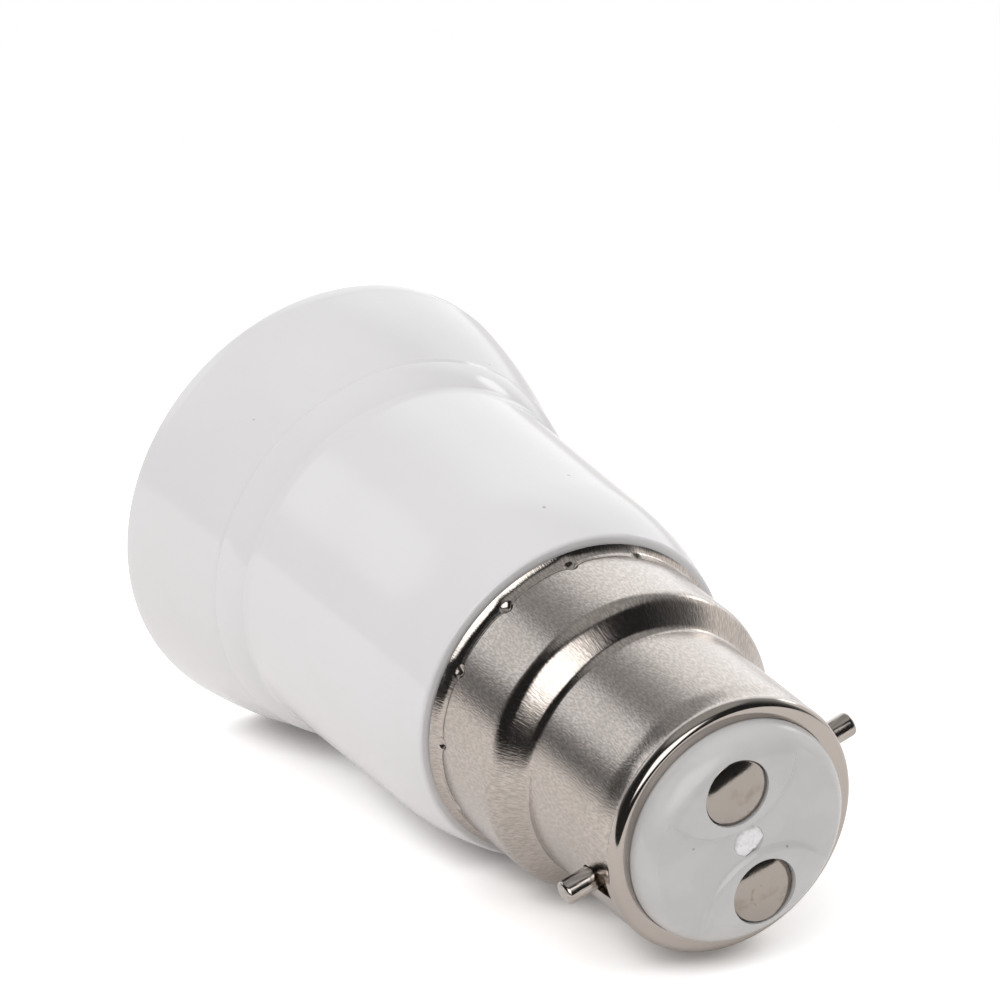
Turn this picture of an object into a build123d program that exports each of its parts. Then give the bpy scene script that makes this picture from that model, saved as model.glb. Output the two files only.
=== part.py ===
from build123d import *
from math import atan, cos, sin, tan
import os

os.makedirs("parts", exist_ok=True)

# Lamp socket adapter: a bayonet cap that plugs into a lamp holder, with a screw socket for the lamp.
# It stands on its mouth rim with its axis on +Z and its bayonet pins along X. Lengths are millimetres.

# Moulded housing, from the mouth rim upwards
mouth_rim_width = 1.95      # flat ring and rounded edge that the adapter stands on
mouth_edge_r = 1.0          # rounding of the rim's outer edge
flare_length = 11.5         # mouth rim to the crease behind the flare
flare_spread = 2.2          # growth of the flare's radius, crease to mouth
flare_crown = 0.12          # bulge of the flare past a straight cone
crease_depth = 0.1          # flare stands out past the neck band
neck_length = 3.3           # band between the crease and the step
neck_slope = 1.2            # growth of the band's radius, step to crease
neck_crown = 0.18           # bulge of the band past a straight cone
step_depth = 0.125          # band stands out past the main body
body_draft = 0.425          # growth of the body's radius, waist to step
body_straight = 17.6        # step to the waist, where the end starts to round in
body_length = 25.4          # step to the end shoulder under the metal lip
body_wall = 1.55            # wall round the socket bore at the waist
body_end_ledge = 0.65       # end shoulder stands out past the metal lip
body_end_edge = 0.35        # rounding of the end shoulder's outer edge
socket_depth = 33.0         # mouth rim to the socket floor
socket_ledge = 12.1         # mouth rim to the front of the socket bore
funnel_ledge = 0.55         # funnel stands out past the socket bore
floor_thickness = 2.5
spigot_length = 6.0         # spigot that the metal skirt slides over
spigot_wall = 1.3

# Bayonet shell, drawn from sheet
shell_wall = 0.4
barrel_d = 22.0
barrel_length = 12.45       # shoulder to the rim's top face
skirt_d = 26.2
skirt_length = 6.55         # crease of the lip to the shoulder
shoulder_height = 3.4       # step between skirt and barrel, a cone between two bends
shoulder_steepness = 1.39   # cone's slope over the step's mean slope, between 1 and 2
shoulder_roll_share = 0.62  # convex bend's part of both bends
lip_flare = 0.55            # growth of the radius from the skirt to the lip's edge
lip_height = 0.98
rim_width = 1.5             # turned-in rim
rim_corner_r = 0.75
rim_groove_depth = 0.12     # shallow groove rolled under the rim
rim_groove_width = 1.5
rim_groove_land = 0.1       # rounded corner to the groove
stake_count = 13            # punch marks that lock the shell to the spigot
stake_ball_r = 0.55
stake_depth = 0.26
stake_first_angle = -17.4
stake_bump_r = 0.34
stake_bump_rise = 0.25      # bump inside the skirt, behind each mark
stake_groove_depth = 0.4
stake_groove_width = 1.7

# Bayonet pins
pin_d = 2.05
pin_span = 27.4             # over the ends of both pins
pin_drop = 6.2              # contact faces to the pins' centre line
pin_seat = 4.2              # length held in the insulator
pin_end_r = 0.35
pin_slot_gap = 0.08         # punched slot round the pin, with a round lower end
pin_slot_relief = 1.0       # slot's extra length towards the rim

# Cap insulator
face_proud = 2.45           # rim's top face to the raised contact pads
face_land = 0.05            # straight side between the rim and the face's rounded edge
insulator_depth = 8.1       # length inside the barrel
valley_depth = 0.35         # bow-tie hollow between the two contact pads
pad_foot_r = 6.5            # round edge of each pad, at its foot
pad_slope = 0.6             # run of the pads' S-shaped sides
pad_roll = 0.027            # bow of each half of the sides past a straight slope
pad_gap = 2.3               # foot to foot across the middle
gate_d = 2.7                # moulding gate dimple in the middle of the face
gate_depth = 0.2
gate_taper = 30
gate_stub_d = 1.9
gate_stub_rise = 0.3
gate_stub_taper = 25
core_depth = 5.6            # hollow under the insulator
core_wall = 1.4             # wall round the hollow
rib_wall = 2.175            # bar across the hollow, on each side of the pins
boss_wall = 1.4             # bosses round the contact stems

# Contact plates
contact_spacing = 10.0
contact_d = 5.55
contact_edge = 0.6          # thickness at the plate's edge
contact_crown = 0.35        # height of the dome above the edge
contact_sink = 0.2          # plate's edge below the pad
well_clearance = 0.09
stem_wall = 0.55
stem_length = 11.5
stem_bore_gap = 0.2         # bare wire to the stem's bore
stem_bore_depth = 6.0

# Screw shell of the lamp socket
thread_pitch = 3.629
thread_major_d = 27.0
thread_depth = 1.15
thread_ridge_width = 2.3
thread_lead_in = 2.6        # front edge of the shell to the first turn
thread_run_out = 2.25       # last turn to the floor
screw_wall = 0.35
screw_floor_hole_d = 13.0
screw_corner_r = 0.6

# Centre contact, a bent spring strip
strip_thickness = 0.4
strip_width = 5.0
base_length = 7.0
base_offset = -4.0          # bend of the strip, along X from the axis
leaf_rise = 3.6             # base's face to the contact pad's face
leaf_ramp = 2.4             # length of the sloping run along X
leaf_pad = 4.0              # length of the flat pad along X
leaf_tip = 1.2              # length of the turned-back tip along X
leaf_tip_drop = 0.8
leaf_bend_r = 0.9
leaf_button_d = 2.6         # embossed button that meets the lamp
leaf_button_height = 0.35
leaf_button_taper = 40
strip_corner_r = 0.6
bend_gap = 0.1              # base to the rounded root of the leaf

# Rivets, solder tags and wires
rivet_d = 2.0
rivet_head_lap = 0.6        # head past the shank
rivet_head_height = 0.55
rivet_fit = 0.05
centre_rivet_x = 0.6
tag_thickness = 0.4
tag_width = 3.6
tag_gap = 0.2               # shell tag to the spigot's wall
wire_d = 1.6
wire_core_d = 0.9
wire_strip_length = 2.2
wire_slack = 3.4            # sideways bow of each wire
wire_bend_r = 3.0
solder_d = 2.6
solder_height = 1.1
solder_hollow = 0.15        # sag of the bead's side below a straight cone

# Clearances
fit_gap = 0.05              # between parts that locate one another
seat_gap = 0.02             # between faces that rest on one another
spigot_gap = 0.08
barrel_gap = 0.1

# Heights worked out from the sizes above
crease_z = flare_length
step_z = crease_z + neck_length
waist_z = step_z + body_straight
shoulder_z = step_z + body_length
floor_z = socket_depth
floor_top_z = floor_z + floor_thickness
lip_angle = 2 * atan(lip_flare / lip_height)  # slope of the curved lip at its edge
lip_z = shoulder_z + seat_gap + shell_wall * sin(lip_angle)
lip_crease_z = lip_z + lip_height
skirt_top_z = lip_crease_z + skirt_length
barrel_z = skirt_top_z + shoulder_height
rim_z = barrel_z + barrel_length
face_z = rim_z + face_proud
valley_z = face_z - valley_depth
pin_z = face_z - pin_drop
insulator_top_z = rim_z - shell_wall - seat_gap
insulator_base_z = insulator_top_z - insulator_depth

# Radii worked out from the sizes above
barrel_r = barrel_d / 2
skirt_r = skirt_d / 2
barrel_bore_r = barrel_r - shell_wall
skirt_bore_r = skirt_r - shell_wall
lip_r = skirt_r + lip_flare
spigot_r = skirt_bore_r - spigot_gap
chamber_r = spigot_r - spigot_wall
thread_major_r = thread_major_d / 2
screw_outer_r = thread_major_r + screw_wall
socket_bore_r = screw_outer_r + barrel_gap
funnel_r = socket_bore_r + funnel_ledge
waist_r = socket_bore_r + body_wall
body_r = waist_r + body_draft
body_end_r = lip_r + body_end_ledge
neck_top_r = body_r + step_depth
neck_base_r = neck_top_r + neck_slope
flare_top_r = neck_base_r + crease_depth
mouth_r = flare_top_r + flare_spread
mouth_bore_r = mouth_r - mouth_rim_width
rim_hole_r = barrel_r - rim_width
insulator_r = barrel_bore_r - barrel_gap
face_r = rim_hole_r - fit_gap
face_edge_r = face_proud - face_land
pad_centre = pad_foot_r + pad_gap / 2
core_r = insulator_r - core_wall
rib_width = pin_d + 2 * rib_wall
pin_slot_width = pin_d + 2 * pin_slot_gap
pin_slot_reach = pin_slot_width / 2 + pin_slot_relief
stem_bore_r = wire_core_d / 2 + stem_bore_gap
stem_r = stem_bore_r + stem_wall
boss_r = stem_r + boss_wall
rivet_head_r = rivet_d / 2 + rivet_head_lap
contact_y = contact_spacing / 2
shell_rivet_r = chamber_r - tag_gap - tag_width / 2


def upright(x, y):
    # Sketch plane through a vertical axis at x, y: the sketch's own axes are radius and height
    return Plane(origin=(x, y, 0), x_dir=(1, 0, 0), z_dir=(0, -1, 0))


# Housing: one moulding with the flare, the socket bore, the floor and the spigot
with BuildPart() as housing:
    with BuildSketch(Plane.XZ):
        with BuildLine():
            rim_start = (mouth_bore_r, 0)
            rim_end = (mouth_r - mouth_edge_r, 0)
            flare_start = (mouth_r, mouth_edge_r)
            flare_end = (flare_top_r, crease_z)
            neck_start = (neck_base_r, crease_z)
            neck_end = (neck_top_r, step_z)
            body_start = (body_r, step_z)
            body_waist = (waist_r, waist_z)
            body_end = (body_end_r, shoulder_z)
            stake_low = (spigot_r, lip_crease_z - stake_groove_width / 2)
            stake_deep = (spigot_r - stake_groove_depth, lip_crease_z)
            stake_high = (spigot_r, lip_crease_z + stake_groove_width / 2)
            Line(rim_start, rim_end)
            TangentArc(rim_end, flare_start, tangent=(1, 0))
            SagittaArc(flare_start, flare_end, -flare_crown)
            Line(flare_end, neck_start)
            SagittaArc(neck_start, neck_end, -neck_crown)
            Line(neck_end, body_start)
            straight = Line(body_start, body_waist)
            TangentArc(body_waist, body_end, tangent=straight % 1)
            Polyline(
                body_end,
                (spigot_r, shoulder_z),
                stake_low,
                stake_deep,
                stake_high,
                (spigot_r, shoulder_z + spigot_length),
                (chamber_r, shoulder_z + spigot_length),
                (chamber_r, floor_top_z),
                (0, floor_top_z),
                (0, floor_z),
                (socket_bore_r, floor_z),
                (socket_bore_r, socket_ledge),
                (funnel_r, socket_ledge),
                rim_start,
            )
        make_face()
    revolve(axis=Axis.Z)
    end_edges = housing.edges().filter_by(GeomType.CIRCLE).filter_by_position(Axis.Z, shoulder_z, shoulder_z)
    fillet(end_edges.sort_by(SortBy.RADIUS)[-1], body_end_edge)
    with BuildSketch(Plane.XY.offset(floor_z)):
        with Locations((0, shell_rivet_r), (0, -shell_rivet_r), (centre_rivet_x, 0)):
            Circle(rivet_d / 2 + rivet_fit)
    extrude(amount=floor_thickness, mode=Mode.SUBTRACT)
housing.part.label = "housing"
export_step(housing.part, "parts/housing.step")


def sheet_shoulder(offset):
    # Corners of the shoulder from the barrel out to the skirt, moved inwards by offset from the outer face
    shoulder_step = skirt_r - barrel_r
    slope = shoulder_steepness * atan(shoulder_step / shoulder_height)
    bends = (shoulder_height - shoulder_step / tan(slope)) / tan(slope / 2)
    roll_r = bends * shoulder_roll_share - offset
    hollow_r = bends * (1 - shoulder_roll_share) + offset
    top = (barrel_r - offset, barrel_z)
    cone_top = (top[0] + hollow_r * (1 - cos(slope)), barrel_z - hollow_r * sin(slope))
    bottom = (skirt_r - offset, skirt_top_z)
    cone_low = (bottom[0] - roll_r * (1 - cos(slope)), skirt_top_z + roll_r * sin(slope))
    return top, cone_top, cone_low, bottom


# Bayonet shell: flared lip, skirt, rolled shoulder, barrel and turned-in rim in one sheet-metal piece
with BuildPart() as bayonet_shell:
    with BuildSketch(Plane.XZ):
        with BuildLine():
            outer_top, outer_cone_top, outer_cone_low, outer_bottom = sheet_shoulder(0)
            inner_top, inner_cone_top, inner_cone_low, inner_bottom = sheet_shoulder(shell_wall)
            lip_edge = (lip_r, lip_z)
            lip_inner_edge = (lip_r - shell_wall * cos(lip_angle), lip_z - shell_wall * sin(lip_angle))
            lip_crease = (skirt_r, lip_crease_z)
            lip_inner_crease = (skirt_bore_r, lip_crease_z)
            groove_top_z = rim_z - rim_corner_r - rim_groove_land
            groove_low_z = groove_top_z - rim_groove_width
            corner_low = (barrel_r, rim_z - rim_corner_r)
            corner_top = (barrel_r - rim_corner_r, rim_z)
            inner_corner_top = (barrel_r - rim_corner_r, rim_z - shell_wall)
            inner_corner_low = (barrel_bore_r, rim_z - rim_corner_r)
            TangentArc(lip_crease, lip_edge, tangent=(0, -1))
            Line(lip_crease, outer_bottom)
            TangentArc(outer_bottom, outer_cone_low, tangent=(0, 1))
            Line(outer_cone_low, outer_cone_top)
            TangentArc(outer_top, outer_cone_top, tangent=(0, -1))
            Line(outer_top, (barrel_r, groove_low_z))
            SagittaArc((barrel_r, groove_low_z), (barrel_r, groove_top_z), rim_groove_depth)
            Line((barrel_r, groove_top_z), corner_low)
            TangentArc(corner_low, corner_top, tangent=(0, 1))
            rim_edge_top = (rim_hole_r, rim_z)
            rim_edge_low = (rim_hole_r, rim_z - shell_wall)
            Polyline(corner_top, rim_edge_top, rim_edge_low, inner_corner_top)
            TangentArc(inner_corner_low, inner_corner_top, tangent=(0, 1))
            Line(inner_corner_low, inner_top)
            TangentArc(inner_top, inner_cone_top, tangent=(0, -1))
            Line(inner_cone_top, inner_cone_low)
            TangentArc(inner_bottom, inner_cone_low, tangent=(0, 1))
            Line(inner_bottom, lip_inner_crease)
            TangentArc(lip_inner_crease, lip_inner_edge, tangent=(0, -1))
            Line(lip_inner_edge, lip_edge)
        make_face()
    revolve(axis=Axis.Z)
    with BuildSketch(Plane.YZ):
        with Locations((0, pin_z)):
            Circle(pin_slot_width / 2)
        with Locations((0, pin_z + pin_slot_reach / 2)):
            Rectangle(pin_slot_width, pin_slot_reach)
    extrude(amount=barrel_d, both=True, mode=Mode.SUBTRACT)
    with Locations((0, 0, lip_crease_z)):
        with PolarLocations(skirt_bore_r + stake_bump_r - stake_bump_rise, stake_count, stake_first_angle):
            Sphere(stake_bump_r)
        with PolarLocations(skirt_r + stake_ball_r - stake_depth, stake_count, stake_first_angle):
            Sphere(stake_ball_r, mode=Mode.SUBTRACT)
bayonet_shell.part.label = "bayonet_shell"
export_step(bayonet_shell.part, "parts/bayonet_shell.step")

# Bayonet pins: two round-ended pins seated in the insulator, one on each side
for side, pin_name in ((1, "bayonet_pin_a"), (-1, "bayonet_pin_b")):
    pin_root = side * (insulator_r - pin_seat + fit_gap)
    pin_length = pin_span / 2 - abs(pin_root)
    with BuildPart() as bayonet_pin:
        with BuildSketch(Plane(origin=(pin_root, 0, pin_z), z_dir=(side, 0, 0))):
            Circle(pin_d / 2)
        extrude(amount=pin_length)
        fillet(bayonet_pin.edges().sort_by(Axis.X)[-1 if side > 0 else 0], pin_end_r)
    bayonet_pin.part.label = pin_name
    export_step(bayonet_pin.part, f"parts/{pin_name}.step")

# Hollow between the contact pads, cut out of the insulator's face; each pad rises from it in a soft S
with BuildPart() as face_valley:
    with Locations((0, 0, valley_z)):
        Cylinder(2 * face_r, 2 * valley_depth, align=(Align.CENTER, Align.CENTER, Align.MIN))
    for side in (1, -1):
        with BuildSketch(upright(0, side * pad_centre)):
            with BuildLine():
                pad_foot = (pad_foot_r, valley_z)
                pad_middle = (pad_foot_r - pad_slope / 2, valley_z + valley_depth / 2)
                pad_top = (pad_foot_r - pad_slope, face_z)
                clear_z = valley_z + 2 * valley_depth
                SagittaArc(pad_foot, pad_middle, pad_roll)
                SagittaArc(pad_middle, pad_top, -pad_roll)
                Polyline(pad_top, (pad_top[0], clear_z), (0, clear_z), (0, valley_z), pad_foot)
            make_face()
        revolve(axis=Axis((0, side * pad_centre, 0), (0, 0, 1)), mode=Mode.SUBTRACT)

# Cap insulator: domed face with two raised contact pads, cored out below
with BuildPart() as cap_insulator:
    with BuildSketch(Plane.XZ):
        with BuildLine():
            face_edge_low = (face_r, face_z - face_edge_r)
            face_edge_top = (face_r - face_edge_r, face_z)
            Polyline(
                face_edge_top,
                (0, face_z),
                (0, insulator_base_z),
                (insulator_r, insulator_base_z),
                (insulator_r, insulator_top_z - rim_corner_r),
                (insulator_r - rim_corner_r, insulator_top_z),
                (face_r, insulator_top_z),
                face_edge_low,
            )
            TangentArc(face_edge_low, face_edge_top, tangent=(0, 1))
        make_face()
    revolve(axis=Axis.Z)
    add(face_valley.part, mode=Mode.SUBTRACT)
    with BuildSketch(Plane.XY.offset(insulator_base_z)):
        Circle(core_r)
        Rectangle(4 * core_r, rib_width, mode=Mode.SUBTRACT)
        with Locations((0, contact_y), (0, -contact_y)):
            Circle(boss_r, mode=Mode.SUBTRACT)
    extrude(amount=core_depth, mode=Mode.SUBTRACT)
    with BuildSketch(Plane.XY.offset(face_z)):
        with Locations((0, contact_y), (0, -contact_y)):
            Circle(contact_d / 2 + well_clearance)
    extrude(amount=-(contact_sink + contact_edge), mode=Mode.SUBTRACT)
    with BuildSketch(Plane.XY.offset(insulator_base_z)):
        with Locations((0, contact_y), (0, -contact_y)):
            Circle(stem_r + fit_gap)
    extrude(amount=face_z - insulator_base_z, mode=Mode.SUBTRACT)
    for side in (1, -1):
        with BuildSketch(Plane(origin=(side * insulator_r, 0, pin_z), z_dir=(-side, 0, 0))):
            Circle(pin_d / 2 + fit_gap)
        extrude(amount=pin_seat, mode=Mode.SUBTRACT)
    with BuildSketch(Plane.XY.offset(valley_z)):
        Circle(gate_d / 2)
    extrude(amount=-gate_depth, taper=gate_taper, mode=Mode.SUBTRACT)
    with BuildSketch(Plane.XY.offset(valley_z - gate_depth)):
        Circle(gate_stub_d / 2)
    extrude(amount=gate_stub_rise, taper=gate_stub_taper)
cap_insulator.part.label = "cap_insulator"
export_step(cap_insulator.part, "parts/cap_insulator.step")

# Contact plates: domed discs with a hollow stem that takes the wire
plate_z = face_z - contact_sink - contact_edge
stem_low_z = plate_z - stem_length
for side, plate_name in ((-1, "contact_plate_a"), (1, "contact_plate_b")):
    with BuildPart() as contact_plate:
        with BuildSketch(upright(0, side * contact_y)):
            with BuildLine():
                plate_edge = (contact_d / 2, plate_z + seat_gap)
                dome_edge = (contact_d / 2, plate_z + contact_edge)
                dome_top = (0, plate_z + contact_edge + contact_crown)
                bore_top_z = stem_low_z + stem_bore_depth
                TangentArc(dome_top, dome_edge, tangent=(1, 0))
                Polyline(
                    dome_edge,
                    plate_edge,
                    (stem_r, plate_z + seat_gap),
                    (stem_r, stem_low_z),
                    (stem_bore_r, stem_low_z),
                    (stem_bore_r, bore_top_z),
                    (0, bore_top_z),
                    dome_top,
                )
            make_face()
        revolve(axis=Axis((0, side * contact_y, 0), (0, 0, 1)))
    contact_plate.part.label = plate_name
    export_step(contact_plate.part, f"parts/{plate_name}.step")

# Screw shell: thin cup with a rounded internal thread and a riveted floor
screw_front_z = socket_ledge + fit_gap
screw_floor_z = floor_z - seat_gap
thread_z = screw_front_z + thread_lead_in
thread_length = screw_floor_z - thread_run_out - thread_z
with BuildPart() as screw_shell:
    with BuildSketch(Plane.XZ):
        with BuildLine():
            corner_start = (screw_outer_r, screw_floor_z - screw_corner_r)
            corner_end = (screw_outer_r - screw_corner_r, screw_floor_z)
            inner_floor_z = screw_floor_z - screw_wall
            Polyline(
                corner_end,
                (screw_floor_hole_d / 2, screw_floor_z),
                (screw_floor_hole_d / 2, inner_floor_z),
                (thread_major_r, inner_floor_z),
                (thread_major_r, screw_front_z),
                (screw_outer_r, screw_front_z),
                corner_start,
            )
            TangentArc(corner_start, corner_end, tangent=(0, 1))
        make_face()
    revolve(axis=Axis.Z)
    with BuildLine() as thread_path:
        Helix(thread_pitch, thread_length, thread_major_r, center=(0, 0, thread_z))
    thread_start = thread_path.line @ 0
    with BuildSketch(Plane(origin=thread_start, x_dir=(1, 0, 0), z_dir=thread_path.line % 0)):
        with BuildLine():
            ridge_root = screw_wall / 2
            ridge_low = (ridge_root, -thread_ridge_width / 2)
            ridge_crest = (-thread_depth, 0)
            ridge_high = (ridge_root, thread_ridge_width / 2)
            ThreePointArc(ridge_low, ridge_crest, ridge_high)
            Line(ridge_high, ridge_low)
        make_face()
    sweep(path=thread_path.line, is_frenet=True)
    with BuildSketch(Plane.XY.offset(screw_floor_z)):
        with Locations((0, shell_rivet_r), (0, -shell_rivet_r)):
            Circle(rivet_d / 2 + rivet_fit)
    extrude(amount=-2 * screw_wall, mode=Mode.SUBTRACT)
screw_shell.part.label = "screw_shell"
export_step(screw_shell.part, "parts/screw_shell.step")

# Centre contact: the riveted base of the spring strip lies on the socket floor
base_top_z = floor_z - seat_gap
base_low_z = base_top_z - strip_thickness
with BuildPart() as centre_contact_base:
    with BuildSketch(Plane.XY.offset(base_top_z)):
        with Locations((base_offset + base_length / 2, 0)):
            RectangleRounded(base_length, strip_width, strip_corner_r)
        with Locations((centre_rivet_x, 0)):
            Circle(rivet_d / 2 + rivet_fit, mode=Mode.SUBTRACT)
    extrude(amount=-strip_thickness)
centre_contact_base.part.label = "centre_contact_base"
export_step(centre_contact_base.part, "parts/centre_contact_base.step")

# Centre contact: the sprung leaf rises from the bend, turns flat over the axis and curls back at its tip
hinge_z = base_low_z - bend_gap - strip_thickness / 2
leaf_pad_z = base_low_z - leaf_rise + strip_thickness / 2
leaf_pad_start = base_offset + leaf_ramp
leaf_pad_end = leaf_pad_start + leaf_pad
with BuildPart() as centre_contact_leaf:
    with BuildSketch(Plane.XZ):
        with BuildLine() as leaf_line:
            FilletPolyline(
                (base_offset, hinge_z),
                (leaf_pad_start, leaf_pad_z),
                (leaf_pad_end, leaf_pad_z),
                (leaf_pad_end + leaf_tip, leaf_pad_z + leaf_tip_drop),
                radius=leaf_bend_r,
            )
        trace(line_width=strip_thickness)
        with Locations((base_offset, hinge_z)):
            Circle(strip_thickness / 2)
    extrude(amount=strip_width / 2, both=True)
    with BuildSketch(Plane.XY.offset(leaf_pad_z - strip_thickness / 2)):
        Circle(leaf_button_d / 2)
    extrude(amount=-leaf_button_height, taper=leaf_button_taper)
centre_contact_leaf.part.label = "centre_contact_leaf"
export_step(centre_contact_leaf.part, "parts/centre_contact_leaf.step")

# Solder tags: flat strips held on top of the floor under a rivet's head, each reaching under a contact stem
tag_low_z = floor_top_z + seat_gap
tag_top_z = tag_low_z + tag_thickness
tags = (
    ("centre_tag", centre_rivet_x, 0, -contact_y),
    ("shell_tag", 0, shell_rivet_r, contact_y),
)
for tag_name, rivet_x, rivet_y, joint_y in tags:
    with BuildPart() as solder_tag:
        with BuildSketch(Plane.XY.offset(tag_low_z)):
            with Locations((rivet_x, (rivet_y + joint_y) / 2)):
                SlotCenterToCenter(rivet_y - joint_y, tag_width, rotation=90)
            with Locations((rivet_x, rivet_y)):
                Circle(rivet_d / 2 + rivet_fit, mode=Mode.SUBTRACT)
        extrude(amount=tag_thickness)
    solder_tag.part.label = tag_name
    export_step(solder_tag.part, f"parts/{tag_name}.step")

# Rivets: domed heads on both ends of a plain shank
shell_head_z = screw_floor_z - screw_wall - seat_gap
rivets = (
    ("centre_rivet", centre_rivet_x, 0, base_low_z - seat_gap, tag_top_z + seat_gap),
    ("shell_rivet_a", 0, -shell_rivet_r, shell_head_z, floor_top_z + seat_gap),
    ("shell_rivet_b", 0, shell_rivet_r, shell_head_z, tag_top_z + seat_gap),
)
for rivet_name, rivet_x, rivet_y, low_z, high_z in rivets:
    with BuildPart() as rivet:
        with BuildSketch(upright(rivet_x, rivet_y)):
            with BuildLine():
                low_rim = (rivet_head_r, low_z)
                high_rim = (rivet_head_r, high_z)
                low_crown = (0, low_z - rivet_head_height)
                high_crown = (0, high_z + rivet_head_height)
                TangentArc(low_crown, low_rim, tangent=(1, 0))
                Polyline(low_rim, (rivet_d / 2, low_z), (rivet_d / 2, high_z), high_rim)
                TangentArc(high_crown, high_rim, tangent=(1, 0))
                Line(high_crown, low_crown)
            make_face()
        revolve(axis=Axis((rivet_x, rivet_y, 0), (0, 0, 1)))
    rivet.part.label = rivet_name
    export_step(rivet.part, f"parts/{rivet_name}.step")

# Wires: one from each contact stem down to a solder tag, with a bow of slack and bare ends
solder_top_z = tag_top_z + seat_gap + solder_height
wire_top_z = stem_low_z - fit_gap
wire_low_z = tag_top_z + seat_gap + wire_strip_length
wires = (
    ("wire_a", -contact_y, centre_rivet_x, 1),
    ("wire_b", contact_y, 0, -1),
)
for wire_name, stem_y, tag_x, bow_side in wires:
    with BuildPart() as wire:
        with BuildLine() as wire_route:
            wire_run = (wire_top_z - wire_low_z) / 4
            FilletPolyline(
                (0, stem_y, wire_top_z),
                (0, stem_y, wire_top_z - wire_run),
                (bow_side * wire_slack, stem_y, wire_top_z - 2 * wire_run),
                (tag_x, stem_y, wire_top_z - 3 * wire_run),
                (tag_x, stem_y, wire_low_z),
                radius=wire_bend_r,
            )
        with BuildSketch(Plane(origin=(0, stem_y, wire_top_z), z_dir=(0, 0, -1))):
            Circle(wire_d / 2)
        sweep(path=wire_route.line)
        with BuildSketch(Plane.XY.offset(wire_top_z)):
            with Locations((0, stem_y)):
                Circle(wire_core_d / 2)
        extrude(amount=wire_strip_length)
        with BuildSketch(Plane.XY.offset(wire_low_z)):
            with Locations((tag_x, stem_y)):
                Circle(wire_core_d / 2)
        extrude(amount=-wire_strip_length)
    wire.part.label = wire_name
    export_step(wire.part, f"parts/{wire_name}.step")

# Solder joints: a bead with hollow sides round the bare end of each wire, on its tag
beads = (
    ("solder_joint_a", centre_rivet_x, -contact_y),
    ("solder_joint_b", 0, contact_y),
)
for bead_name, bead_x, bead_y in beads:
    with BuildPart() as bead:
        with BuildSketch(upright(bead_x, bead_y)):
            with BuildLine():
                bead_low_z = tag_top_z + seat_gap
                bead_bore_r = wire_core_d / 2 + fit_gap
                bead_rim = (solder_d / 2, bead_low_z)
                bead_crown = (bead_bore_r, solder_top_z)
                Polyline(bead_rim, (bead_bore_r, bead_low_z), bead_crown)
                SagittaArc(bead_rim, bead_crown, solder_hollow)
            make_face()
        revolve(axis=Axis((bead_x, bead_y, 0), (0, 0, 1)))
    bead.part.label = bead_name
    export_step(bead.part, f"parts/{bead_name}.step")
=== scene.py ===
import bpy
import numpy as np
from mathutils import Matrix, Vector


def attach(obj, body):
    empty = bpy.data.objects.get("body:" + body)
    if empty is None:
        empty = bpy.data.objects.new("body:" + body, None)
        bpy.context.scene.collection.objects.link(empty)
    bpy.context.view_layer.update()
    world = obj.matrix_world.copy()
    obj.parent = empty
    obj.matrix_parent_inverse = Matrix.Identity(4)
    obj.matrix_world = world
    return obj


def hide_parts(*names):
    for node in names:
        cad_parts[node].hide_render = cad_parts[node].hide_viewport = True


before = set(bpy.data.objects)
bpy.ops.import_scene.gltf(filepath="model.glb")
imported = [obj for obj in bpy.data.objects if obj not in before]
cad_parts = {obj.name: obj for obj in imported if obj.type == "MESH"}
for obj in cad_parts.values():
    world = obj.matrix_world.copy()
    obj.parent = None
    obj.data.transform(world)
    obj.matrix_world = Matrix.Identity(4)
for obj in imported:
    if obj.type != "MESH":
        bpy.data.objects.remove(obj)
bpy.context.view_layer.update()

mm = 0.001  # sizes below are millimetres unless a note says otherwise


# Mesh tools

def arcBetween(start, corner, end, steps):
    # Circular arc that leaves start towards corner and reaches end: a conic with weight cos(turn / 2)
    u = np.linspace(0, 1, steps)[:, None]
    toStart, toEnd = start - corner, end - corner
    cosine = toStart @ toEnd / (np.linalg.norm(toStart) * np.linalg.norm(toEnd))
    weight = np.sqrt(max(0.0, (1 - cosine) / 2))
    blend = 2 * u * (1 - u) * weight
    return ((1 - u) ** 2 * start + blend * corner + u ** 2 * end) / ((1 - u) ** 2 + blend + u ** 2)


def edgeSteps(length, hold=0.05, holdShare=0.2, coarse=1.4):
    # Shares along an edge: a holding row near each end keeps the shading of the flat between them flat
    inner = max(2, int(length / coarse) + 1)
    near = min(hold / length, holdShare)
    return np.concatenate(([0], np.linspace(near, 1 - near, inner), [1]))


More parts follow.
